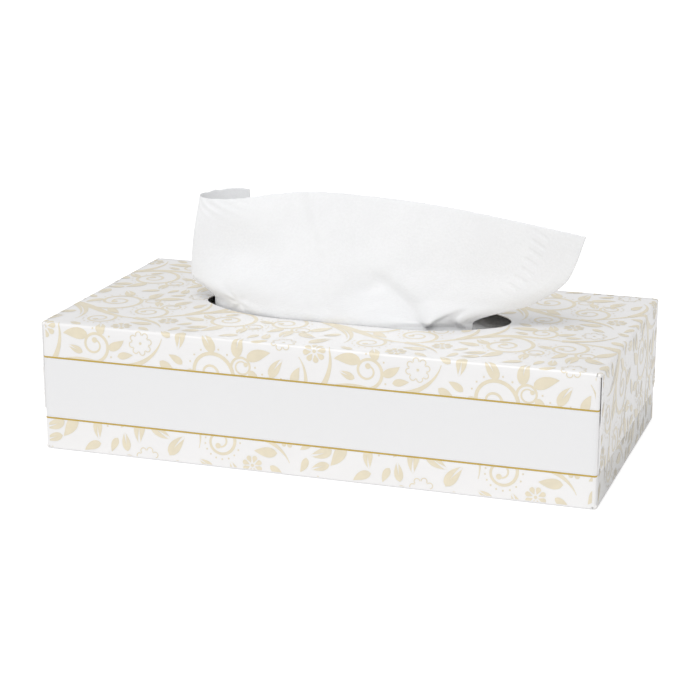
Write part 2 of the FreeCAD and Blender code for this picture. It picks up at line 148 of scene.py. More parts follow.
class Shader:
    """One material's node tree, with a single way to add a node."""

    def __init__(self, name: str) -> None:
        """Starts an empty material with a Principled shader.

        Args:
            name: The material's name.
        """
        self.material = bpy.data.materials.new(name)
        self.material.use_nodes = True
        self.nodes = self.material.node_tree.nodes
        self.links = self.material.node_tree.links
        self.surface = self.nodes["Principled BSDF"]

    def node(self, kind: str, settings: dict, sockets: dict, out: "int | str" = 0) -> Signal:
        """Adds a node.

        Args:
            kind: The node's type.
            settings: Its own properties, set first.
            sockets: Values or signals by input name or number.
            out: The output to use.

        Returns:
            The chosen output.
        """
        made = self.nodes.new(kind)
        for key, value in settings.items():
            setattr(made, key, value)
        for key, value in sockets.items():
            self.feed(made.inputs[key], value)
        return Signal(self, made.outputs[out])

    def feed(self, socket: bpy.types.NodeSocket, value: "Signal | float | Colour") -> None:
        """Links a signal to a socket, or sets its value.

        Args:
            socket: The socket.
            value: A signal, a number or a colour.
        """
        if isinstance(value, Signal):
            self.links.new(value.socket, socket)
        elif (
            isinstance(value, (tuple, list))
            and len(value) == 3
            and len(socket.default_value) == 4
        ):
            socket.default_value = (*value, 1.0)
        else:
            socket.default_value = value

    def maths(self, operation: str, *values: "Signal | float") -> Signal:
        """A Math node's output."""
        return self.node("ShaderNodeMath", {"operation": operation}, dict(enumerate(values)))

    def place(self, scale: Sequence[float] = (1.0, 1.0, 1.0)) -> Signal:
        """Object coordinates, scaled."""
        coordinates = self.node("ShaderNodeTexCoord", {}, {}, "Object")
        return self.node("ShaderNodeMapping", {}, {"Vector": coordinates, "Scale": tuple(scale)})

    def axes(self, vector: Signal) -> list[Signal]:
        """The three parts of a vector."""
        split = self.node("ShaderNodeSeparateXYZ", {}, {0: vector})
        return [Signal(self, socket) for socket in split.socket.node.outputs]

    def noise(self, place: Signal, scale: float, detail: float = 3.0, rough: float = 0.5) -> Signal:
        """Cloudy noise from 0 to 1."""
        sockets = {"Vector": place, "Scale": scale, "Detail": detail, "Roughness": rough}
        return self.node("ShaderNodeTexNoise", {}, sockets)

    def mix(
        self, part: "Signal | float", low: "Signal | Colour", high: "Signal | Colour"
    ) -> Signal:
        """Colour between two colours.

        Args:
            part: 0 for the low colour, 1 for the high one.
            low: A colour or a signal.
            high: Another.

        Returns:
            The mixed colour.
        """
        made = self.nodes.new("ShaderNodeMix")
        made.data_type = "RGBA"
        self.feed(made.inputs[0], part)
        self.feed(made.inputs[6], low)
        self.feed(made.inputs[7], high)
        return Signal(self, made.outputs[2])

    def finish(self, **values: "Signal | float | Colour") -> bpy.types.Material:
        """Feeds the Principled shader's sockets and returns the material.

        Args:
            values: Signals, numbers or colours by socket name, with _ for a space.

        Returns:
            The material.
        """
        for key, value in values.items():
            self.feed(self.surface.inputs[key.replace("_", " ")], value)
        return self.material

    def bump(self, height: Signal, depth: float, strength: float = 1.0) -> None:
        """Feeds the Normal socket with a bump of the given depth in metres."""
        sockets = {"Height": height, "Distance": depth, "Strength": strength}
        self.feed(self.surface.inputs["Normal"], self.node("ShaderNodeBump", {}, sockets))


def srgb(red: int, green: int, blue: int) -> Colour:
    """Turns a colour of 0 to 255 as seen on screen into the linear values a shader takes.

    Args:
        red: Red, from 0 to 255.
        green: Green.
        blue: Blue.

    Returns:
        The linear colour.
    """
    def part(value: float) -> float:
        """One channel."""
        value /= 255.0
        return value / 12.92 if value <= 0.04045 else ((value + 0.055) / 1.055) ** 2.4
    return part(red), part(green), part(blue)


def dimmed(colour: Colour, share: float) -> Colour:
    """A colour with its channels scaled, each to 1 at most."""
    return tuple(min(1.0, channel * share) for channel in colour)


def ahead(place: Flat, way: float, far: float) -> Flat:
    """The point that lies a distance from a place, the given way."""
    return place[0] + math.cos(way) * far, place[1] + math.sin(way) * far


@dataclass(frozen=True)
class CartonSizes:
    """The carton's sizes in millimetres, as the board is folded."""

    half_length: float = 118.0
    half_width: float = 61.0
    height: float = 55.0
    board: float = 0.45
    fold: float = 1.0
    flap_half_width: float = 59.65
    top_flap_edge: float = 14.5
    flap_trim: float = 3.5
    sleeve_end: float = 115.65
    mouth_half_length: float = 67.0
    mouth_half_width: float = 24.0
    mouth_straight: float = 24.0
    mouth_end_radius: float = 12.0
    band_levels: tuple[float, float] = (13.8, 40.2)
    ink_lift: float = 0.03

    def mouth(self, steps: int = 14, grow: float = 0.0) -> list[Flat]:
        """The oval mouth's edge, counter-clockwise.

        Args:
            steps: Pieces per arc.
            grow: How far outside the cut edge to draw it.

        Returns:
            Its points.
        """
        end = self.mouth_end_radius
        centre = self.mouth_half_length - end
        run = centre - self.mouth_straight
        half = self.mouth_half_width
        side = (run ** 2 + half ** 2 - end ** 2) / (2 * (half - end))
        lift = side - half
        turn = math.atan2(lift, run)
        quarter = math.pi / 2
        arcs = [
            (self.mouth_straight, lift, side, -quarter, -turn),
            (centre, 0.0, end, -turn, turn),
            (self.mouth_straight, -lift, side, turn, quarter),
        ]
        points = []
        for x, y, radius, start, stop in arcs:
            for i in range(steps + 1):
                points.append(ahead((x, y), start + (stop - start) * i / steps, radius + grow))
        return points + [(-x, -y) for x, y in points]


@dataclass(frozen=True)
class Coat:
    """What board and ink share: the glossy coat, the grain and the rounding of the folds."""

    roughness: float = 0.33
    spread: float = 0.08
    weight: float = 0.35
    coat_roughness: float = 0.16
    grain_scale: float = 900.0
    grain_height: float = 0.003 * MM
    fold_reach: float = 3.4 * MM
    fold_depth: float = 0.75 * MM

    def grain(self, shader: Shader, place: Signal) -> Signal:
        """The board's fine grain."""
        return shader.noise(place, self.grain_scale, 4.0)

    def fold_height(self, shader: Shader, place: Signal) -> Signal:
        """Height in metres that rounds the carton's upper folds for a bump.

        Args:
            shader: The material that is being made.
            place: Object coordinates.

        Returns:
            The height: zero on the panels and falling softly towards each fold.
        """
        sizes = CartonSizes()
        x, y, z = shader.axes(place)
        waver = shader.noise(shader.place((1.0, 0.2, 0.2)), 45.0, 2.0)
        height: "Signal | float" = 0.0
        for edge, level in (
            (sizes.half_width, abs(y)), (sizes.height, z), (sizes.half_length, abs(x))
        ):
            distance = edge * MM - level
            near = ((self.fold_reach - distance) * (distance < self.fold_reach)) / self.fold_reach
            height = height - near ** 2.0 * (waver + 0.5) * self.fold_depth
        return height


@dataclass(frozen=True)
class CoatedBoard:
    """White carton board with a glossy coat, grey raw fibre at its cut edges and inside.

    The skins are how deep the plain band and the end flaps' painted shade reach in, and the insets
    how far in from the ends, the walls, the underside and the top the raw fibre starts. All are in
    millimetres.
    """

    white: Colour = srgb(244, 243, 243)
    band: Colour = srgb(237, 237, 238)
    fibre: Colour = srgb(205, 198, 186)
    # darker board for the bottom flaps under the top flaps at the ends: painted shade
    painted_flap_shade: Colour = srgb(222, 221, 220)
    wall_skin: float = 0.3
    painted_shade_skin: float = 0.7
    raw_insets: tuple[float, float, float, float] = (1.4, 1.1, 1.0, 0.06)
    coat: Coat = Coat()

    def material(self, sizes: CartonSizes) -> bpy.types.Material:
        """Builds the board's material.

        Args:
            sizes: The carton's sizes, for the plain band and the raw faces.

        Returns:
            The material.
        """
        coat = self.coat
        shader = Shader("coated_board")
        place = shader.place()
        x, y, z = shader.axes(place)
        grain = coat.grain(shader, place)
        cloud = shader.noise(place, 28.0, 2.0)
        low, high = (level * MM for level in sizes.band_levels)
        band = (abs(y) > (sizes.half_width - self.wall_skin) * MM) * (z > low) * (z < high)
        from_end, from_wall, from_floor, from_top = self.raw_insets
        raw = (z > from_floor * MM) * (z < (sizes.height - from_top) * MM)
        raw = raw * (abs(y) < (sizes.half_width - from_wall) * MM)
        raw = raw * (abs(x) < (sizes.half_length - from_end) * MM)
        tone = shader.mix(cloud.step(0.3, 0.7), dimmed(self.white, 0.985), self.white)
        tone = shader.mix(band, tone, self.band)
        flecks = shader.mix(grain.step(0.35, 0.65), dimmed(self.fibre, 0.82), self.fibre)
        colour = shader.mix(raw, tone, flecks)
        # painted shade: the bottom flap at each end, set back under its top flap, is coloured
        # darker
        under = (z < sizes.top_flap_edge * MM) * (
            abs(x) > (sizes.half_length - self.painted_shade_skin) * MM
        )
        colour = shader.mix(under, colour, self.painted_flap_shade)
        shader.bump(
            coat.fold_height(shader, place) + cloud * 0.00004 + grain * coat.grain_height, 1.0
        )
        return shader.finish(
            Base_Color=colour,
            Roughness=coat.roughness + (grain - 0.5) * coat.spread + raw * 0.4,
            Coat_Weight=coat.weight - raw * coat.weight,
            Coat_Roughness=coat.coat_roughness,
        )


@dataclass(frozen=True)
class PrintInk:
    """Ink on the coated board: a flat colour with the board's gloss and a faint mottle."""

    name: str
    colour: Colour
    coat: Coat = Coat()
    metallic: float = 0.0
    fold_rounded: bool = True

    def material(self) -> bpy.types.Material:
        """Builds the ink's material.

        Returns:
            The material.
        """
        coat = self.coat
        shader = Shader(self.name)
        place = shader.place()
        mottle = shader.noise(place, 260.0, 3.0)
        grain = coat.grain(shader, place)
        height = grain * coat.grain_height
        if self.fold_rounded:
            height = height + coat.fold_height(shader, place)
        shader.bump(height, 1.0)
        return shader.finish(
            Base_Color=shader.mix(mottle.step(0.3, 0.7), self.colour, dimmed(self.colour, 1.05)),
            Roughness=coat.roughness + (grain - 0.5) * coat.spread,
            Metallic=self.metallic,
            Coat_Weight=coat.weight,
            Coat_Roughness=coat.coat_roughness,
        )


@dataclass(frozen=True)
class SoftTissue:
    """Two-ply tissue: matt and soft, with a fine crepe and a row of pressed dashes by a free edge.

    The dashes' sizes are in metres: how far in the row lies, their pitch, where each fades out
    across and along the row, and the height on the sheet at which the row fades in.
    """

    colour: Colour = srgb(249, 250, 252)
    shade: Colour = srgb(244, 245, 247)
    crepe: float = 0.00016
    dashes: bool = True
    row_place: float = 0.018
    pitch: float = 0.0044
    fade_across: Flat = (0.0026, 0.0042)
    fade_along: Flat = (0.0003, 0.0014)
    fade_in: Flat = (0.034, 0.042)

    def material(self, name: str) -> bpy.types.Material:
        """Builds the tissue's material.

        Args:
            name: The material's name.

        Returns:
            The material. Its pattern follows the sheet's own UV map, in metres.
        """
        shader = Shader(name)
        sheet = shader.node("ShaderNodeUVMap", {"uv_map": "sheet"}, {})
        along, up, _ = shader.axes(sheet)
        stretched = shader.node(
            "ShaderNodeMapping", {}, {"Vector": sheet, "Scale": (1.0, 0.35, 1.0)}
        )
        crepe = shader.noise(stretched, 2600.0, 3.0, 0.6)
        fibre = shader.noise(sheet, 900.0, 4.0, 0.6)
        cloud = shader.noise(sheet, 60.0, 3.0)
        height = crepe * 0.5 + fibre * 0.7 + cloud * 0.8
        if self.dashes:
            across = abs(along - self.row_place).step(*self.fade_across)
            down = abs(up.repeat(self.pitch) - self.pitch / 2).step(*self.fade_along)
            height = height - (1.0 - across) * (1.0 - down) * up.step(*self.fade_in) * 1.1
        shader.bump(height, self.crepe, 0.8)
        tone = (cloud * 0.5 + fibre * 0.5).step(0.35, 0.65)
        return shader.finish(
            Base_Color=shader.mix(tone, self.shade, self.colour),
            Roughness=0.88 + (fibre - 0.5) * 0.1,
            Subsurface_Weight=0.35,
            Subsurface_Radius=(0.0015, 0.0015, 0.0015),
            Subsurface_Scale=1.0,
            Sheen_Weight=0.25,
            Sheen_Roughness=0.6,
            Specular_IOR_Level=0.2,
        )


@dataclass(frozen=True)
class FoldedStack:
    """The stack's side: fine lines of sheet on sheet, with painted shade in the gaps between
    sheets.
    """

    colour: Colour = srgb(246, 246, 246)
    painted_gap_shade: Colour = srgb(214, 214, 216)

    def material(self) -> bpy.types.Material:
        """Builds the stack's material.

        Returns:
            The material.
        """
        shader = Shader("folded_stack")
        place = shader.place()
        flat = shader.place((1.0, 1.0, 60.0))
        lines = shader.noise(flat, 60.0, 3.0, 0.6)
        fibre = shader.noise(place, 900.0, 4.0)
        # darker lines between the sheets: painted shade
        tone = shader.mix(lines.step(0.35, 0.6), self.painted_gap_shade, self.colour)
        shader.bump(lines * 0.8 + fibre * 0.3, 0.0002, 0.8)
        return shader.finish(Base_Color=tone, Roughness=0.9 + (fibre - 0.5) * 0.1)


def split(face: Face, a: Flat, b: Flat) -> tuple[Face, Face]:
    """Cuts a convex flat face along the line from a to b.

    Args:
        face: The face's corners.
        a: A point on the line.
        b: Another point on the line.

    Returns:
        The part to the left of the line and the part to its right. Either may be empty.
    """
    dx, dy = b[0] - a[0], b[1] - a[1]
    sides = [dx * (p[1] - a[1]) - dy * (p[0] - a[0]) for p in face]
    if min(sides) >= -1e-9:
        return face, []
    if max(sides) <= 1e-9:
        return [], face
    left: Face = []
    right: Face = []
    for i, here in enumerate(face):
        there = face[(i + 1) % len(face)]
        near, far = sides[i], sides[(i + 1) % len(face)]
        if near >= 0:
            left.append(here)
        if near <= 0:
            right.append(here)
        if near * far < 0:
            part = near / (near - far)
            cut = (here[0] + (there[0] - here[0]) * part, here[1] + (there[1] - here[1]) * part)
            left.append(cut)
            right.append(cut)
    return left, right


def inside_of(faces: Iterable[Face], outline: Sequence[Flat]) -> list[Face]:
    """The parts of the faces inside a convex, counter-clockwise outline.

    Args:
        faces: Convex faces.
        outline: The outline's corners.

    Returns:
        The parts inside, as convex faces.
    """
    kept = []
    for face in faces:
        for a, b in zip(outline, [*outline[1:], outline[0]]):
            face, _ = split(face, a, b)
            if len(face) < 3:
                break
        else:
            kept.append(face)
    return kept


def outside_of(faces: Iterable[Face], outline: Sequence[Flat]) -> list[Face]:
    """The parts of the faces outside a convex, counter-clockwise outline.

    Args:
        faces: Convex faces.
        outline: The outline's corners.

    Returns:
        The parts outside, as convex faces. A face well clear of the outline stays whole.
    """
    xs, ys = [p[0] for p in outline], [p[1] for p in outline]
    kept = []
    for face in faces:
        clear = (
            max(p[0] for p in face) < min(xs)
            or min(p[0] for p in face) > max(xs)
            or max(p[1] for p in face) < min(ys)
            or min(p[1] for p in face) > max(ys)
        )
        if clear:
            kept.append(face)
            continue
        for a, b in zip(outline, [*outline[1:], outline[0]]):
            face, out = split(face, a, b)
            if len(out) > 2:
                kept.append(out)
            if len(face) < 3:
                break
    return kept


def box_outline(x0: float, y0: float, x1: float, y1: float) -> list[Flat]:
    """A rectangle's corners, counter-clockwise."""
    return [(x0, y0), (x1, y0), (x1, y1), (x0, y1)]


class Bloom(Enum):
    """The kinds of flower in the printed scroll."""

    FULL = "full petals"
    OUTLINED = "outlined petals"


def normal_at(points: Sequence[Flat], i: int) -> Flat:
    """The unit normal, to the left, of a line at one of its points.

    Args:
        points: The line's points.
        i: The point's number.

    Returns:
        The normal.
    """
    before, after = points[max(i - 1, 0)], points[min(i + 1, len(points) - 1)]
    dx, dy = after[0] - before[0], after[1] - before[1]
    size = math.hypot(dx, dy) or 1.0
    return -dy / size, dx / size


@dataclass
class ScrollPrint:
    """A floral scroll drawn flat, as on the unfolded blank, in millimetres.

    Each spray gives where a tendril leaves the stem, its side, its radius and its turns, and
    branches gives where pairs of tapering branches do, both as parts of the repeat.
    """

    pitch: float = 118.0
    row: float = 57.0
    seed: int = 11
    leaf_share: float = 0.44
    sprays: tuple[tuple[float, int, float, float], ...] = (
        (0.07, -1, 14.5, 2.0), (0.34, -1, 10.0, 1.7), (0.57, 1, 14.5, 2.0),
        (0.84, 1, 10.0, 1.7), (0.2, 1, 7.5, 1.5), (0.7, -1, 7.5, 1.5),
    )
    branches: tuple[float, ...] = (0.02, 0.14, 0.29, 0.45, 0.52, 0.64, 0.79, 0.95)
    layer: int = 0
    faces: list[tuple[int, Face]] = field(default_factory=list)
    taken: list[tuple[float, float, float]] = field(default_factory=list)

    def add(self, *corners: Flat) -> None:
        """Adds a face on the present layer."""
        self.faces.append((self.layer, list(corners)))

    def ribbon(self, points: Sequence[Flat], widths: Sequence[float], claim: bool = True) -> None:
        """Draws a stroke of changing width.

        Args:
            points: Its middle line.
            widths: Its width at each point.
            claim: Whether to keep later motifs off it.
        """
        sides = []
        for i, (x, y) in enumerate(points):
            half = widths[i] / 2
            nx, ny = (part * half for part in normal_at(points, i))
            sides.append(((x + nx, y + ny), (x - nx, y - ny)))
            if claim:
                self.taken.append((x, y, half))
        for (left, right), (far_left, far_right) in zip(sides, sides[1:]):
            self.add(right, far_right, far_left, left)

    def disc(self, x: float, y: float, radius: float, sides: int) -> None:
        """Draws a round dot."""
        self.add(*[ahead((x, y), 2 * math.pi * i / sides, radius) for i in range(sides)])

    def leaf(self, base: Way, long: float, bend: float, slit: bool) -> None:
        """Draws a pointed leaf.

        Args:
            base: Its base and the way it points.
            long: Its length.
            bend: How far it curls to one side, in radians.
            slit: Whether a white vein runs into it from the tip.
        """
        steps, vein_from, vein_share = 9, 3, 0.28
        wide = long * self.leaf_share
        middle = [base[:2]]
        heading = base[2] - bend / 2
        for _ in range(steps):
            heading += bend / steps
            middle.append(ahead(middle[-1], heading, long / steps))
        half = [
            wide / 2 * math.sin(math.pi * (i / steps) ** 0.72) ** 0.9 for i in range(steps)
        ] + [0.0]
        rows = []
        for k, (x, y) in enumerate(middle):
            nx, ny = normal_at(middle, k)
            vein = vein_share * max(0.0, (k - vein_from) / (steps - vein_from)) if slit else 0.0
            inner = min(vein * wide * 0.5, half[k])
            rows.append([(x + nx * d, y + ny * d) for d in (half[k], inner, -inner, -half[k])])
        for i, (a, b) in enumerate(zip(rows, rows[1:])):
            if slit and i >= vein_from:
                self.add(a[1], b[1], b[0], a[0])
                self.add(a[3], b[3], b[2], a[2])
            else:
                self.add(a[3], b[3], b[0], a[0])
        self.taken += [(*middle[k], half[k] + 0.3) for k in range(0, steps + 1, 2)]

    def flower(
        self, middle: Flat, radius: float, kind: Bloom, turn: float, petals: int = 8
    ) -> None:
        """Draws a small flower of round petals round a dot.

        Args:
            middle: Its middle.
            radius: Its radius.
            kind: Whether its petals are full or only outlined.
            turn: How far it is turned, in radians.
            petals: How many it has.
        """
        outlined = kind is Bloom.OUTLINED
        spread, points = math.radians(112), 10
        for i in range(petals):
            angle = turn + 2 * math.pi * i / petals
            centre = ahead(middle, angle, radius * 0.74)
            turns = [angle - spread + 2 * spread * k / points for k in range(points + 1)]
            rim = [ahead(centre, t, radius * 0.235) for t in turns]
            if outlined:
                self.ribbon(rim, [0.4] * len(rim), claim=False)
            else:
                self.add(ahead(middle, angle, radius * 0.26), *rim)
        self.disc(*middle, radius * (0.12 if outlined else 0.16), 8)
        self.taken.append((*middle, radius))

    def spiral(self, start: Way, side: int, radius: float, turns: float, width: float) -> list[Way]:
        """Draws a tendril that leaves a stem and curls in on itself.

        Args:
            start: Where and which way it leaves.
            side: 1 to curl to the left, -1 to the right.
            radius: Its radius at the start.
            turns: How many times it goes round.
            width: Its width at the start.

        Returns:
            Its points, each with the way the line goes there.
        """
        inner_radius, points_per_turn, taper = 2.1, 34, 0.55
        shrink = math.log(radius / inner_radius) / (2 * math.pi * turns)
        centre = ahead(start[:2], start[2] + side * math.pi / 2, radius)
        first = math.atan2(start[1] - centre[1], start[0] - centre[0])
        count = int(points_per_turn * turns)
        line, widths = [], []
        for i in range(count + 1):
            swept = 2 * math.pi * turns * i / count
            angle = first + side * swept
            place = ahead(centre, angle, radius * math.exp(-shrink * swept))
            line.append((*place, angle + side * math.pi / 2))
            widths.append(width * (1 - taper * i / count))
        self.ribbon([point[:2] for point in line], widths)
        self.layer += 3
        self.disc(*line[-1][:2], width * 0.85, 12)
        return line

    def swoosh(self, start: Way, long: float, bend: float, width: float) -> None:
        """Draws a tapering branch, if the way is free.

        Args:
            start: Where and which way it leaves its stem.
            long: Its length.
            bend: How far it turns, in radians.
            width: Its width at the start.
        """
        count, clear_from, least = 18, 7, 0.3
        points = [start[:2]]
        for i in range(count):
            points.append(ahead(points[-1], start[2] + bend * (i / count) ** 1.5, long / count))
        if all(self.free(x, y, 1.0) for x, y in points[clear_from:]):
            self.ribbon(
                points, [max(least, width * (1 - i / count) ** 0.8) for i in range(count + 1)]
            )

    def free(self, x: float, y: float, radius: float) -> bool:
        """Whether a disc keeps clear of everything drawn, in this repeat and the ones round it.

        Args:
            x: Its middle.
            y: Its middle.
            radius: Its radius.

        Returns:
            True if nothing lies in it.
        """
        for tx, ty, reach in self.taken:
            up = round((y - ty) / self.row)
            dx = x - tx - up * self.pitch / 2
            dx -= round(dx / self.pitch) * self.pitch
            dy = y - ty - up * self.row
            if dx * dx + dy * dy < (radius + reach) ** 2:
                return False
        return True

    def room_for(self, base: Way, long: float, spots: Sequence[Flat], margin: float) -> bool:
        """Whether a leaf keeps clear.

        Args:
            base: Its base and the way it points.
            long: Its length.
            spots: Discs to test: how far up the leaf and how large, as parts of its length.
            margin: What is added to each disc.

        Returns:
            True if all the discs are free.
        """
        discs = [(*ahead(base[:2], base[2], long * at), long * wide + margin) for at, wide in spots]
        return all(self.free(*disc) for disc in discs)

    def stem(self, s: float) -> Way:
        """The main stem at a part of the repeat.

        Args:
            s: The part, from 0 to 1.

        Returns:
            Its place and its way there.
        """
        turn = 2 * math.pi * s
        y = self.row * (0.5 + 0.2 * math.sin(turn) + 0.05 * math.sin(2 * turn + 1.0))
        slope = self.row * math.pi * (0.4 * math.cos(turn) + 0.2 * math.cos(2 * turn + 1.0))
        return self.pitch * s, y, math.atan2(slope, self.pitch)

    def draw_stems(self) -> list[tuple[list[Way], int]]:
        """Draws the main stem, its tendrils and the small ones that leave those.

        Returns:
            Each tendril's points and the side it curls to.
        """
        count = 110
        widths = [2.2 + 1.4 * math.sin(4 * math.pi * i / count + 0.6) for i in range(count + 1)]
        self.ribbon([self.stem(i / count)[:2] for i in range(count + 1)], widths)
        tendrils = []
        for number, (s, side, radius, turns) in enumerate(self.sprays):
            self.layer = 1 + number % 3
            line = self.spiral(self.stem(s), side, radius, turns, 1.0 + radius * 0.055)
            tendrils.append((line, side))
        for line, side in tendrils[:4]:
            for part, size in ((0.09, 6.2), (0.2, 4.6)):
                start = line[int(part * (len(line) - 1))]
                middle = ahead(start[:2], start[2] - side * math.pi / 2, size * 1.25)
                if self.free(*middle, size * 0.95):
                    self.layer = 4
                    tendrils.append((self.spiral(start, -side, size, 1.45, 1.1), -side))
        return tendrils

    def draw(self) -> None:
        """Draws one repeat of the scroll: stems, branches, leaves, flowers and dots."""
        rng = random.Random(self.seed)
        tendrils = self.draw_stems()
        self.layer = 8
        for s in self.branches:
            x, y, way = self.stem(s)
            for side in (1, -1):
                long, bend = rng.uniform(20.0, 30.0), side * rng.uniform(0.7, 1.3)
                self.swoosh((x, y, way + side * 0.35), long, bend, 3.0)
        self.layer = 9
        for line, side in tendrils:
            for part in (0.06, 0.16, 0.28, 0.42):
                x, y, way = line[int(part * (len(line) - 1))]
                base = (x, y, way - side * rng.uniform(0.6, 1.0))
                long = rng.uniform(8.0, 11.5)
                if self.room_for(base, long, ((0.45, 0.2), (0.8, 0.16)), 0.0):
                    self.leaf(base, long, side * 0.5, rng.random() < 0.6)
        self.layer = 10
        for kind in [Bloom.FULL] * 3 + [Bloom.OUTLINED] * 2:
            for _ in range(500):
                x, y = rng.uniform(0, self.pitch), rng.uniform(0, self.row)
                radius = rng.uniform(4.4, 5.2)
                if self.free(x, y, radius + 0.4):
                    self.flower((x, y), radius, kind, rng.uniform(0, 1))
                    break
        dot, off, clear = 0.42, 2.3, 0.75
        for line, side in tendrils:
            for x, y, way in line[4 : len(line) // 2 : 2]:
                x, y = ahead((x, y), way - side * math.pi / 2, off)
                if self.free(x, y, clear):
                    self.disc(x, y, dot, 7)
                    self.taken.append((x, y, dot))
        for _ in range(1500):
            x, y = rng.uniform(0, self.pitch), rng.uniform(0, self.row)
            long = rng.choice([7.0, 8.5, 10.0, 11.5])
            base = (x, y, rng.uniform(0, 2 * math.pi))
            if self.room_for(base, long, ((0.18, 0.12), (0.5, 0.25), (0.85, 0.13)), 0.9):
                self.leaf(base, long, rng.uniform(-0.6, 0.6), rng.random() < 0.5)

    def tiled(self, x0: float, y0: float, x1: float, y1: float) -> dict[int, list[Face]]:
        """Repeats the scroll over a rectangle, every other row shifted by half a repeat.

        Args:
            x0: Left side.
            y0: Lower side.
            x1: Right side.
            y1: Upper side.

        Returns:
            The faces that lie in the rectangle, by layer.
        """
        found: dict[int, list[Face]] = {}
        for up in range(math.floor(y0 / self.row) - 1, math.ceil(y1 / self.row) + 1):
            shift = (up % 2) * self.pitch / 2
            for along in range(math.floor(x0 / self.pitch) - 2, math.ceil(x1 / self.pitch) + 2):
                dx, dy = along * self.pitch + shift, up * self.row
                for layer, face in self.faces:
                    moved = [(x + dx, y + dy) for x, y in face]
                    low_x, high_x = min(p[0] for p in moved), max(p[0] for p in moved)
                    low_y, high_y = min(p[1] for p in moved), max(p[1] for p in moved)
                    if high_x > x0 and low_x < x1 and high_y > y0 and low_y < y1:
                        found.setdefault(layer, []).append(moved)
        frame_of = box_outline(x0, y0, x1, y1)
        return {layer: inside_of(faces, frame_of) for layer, faces in found.items()}


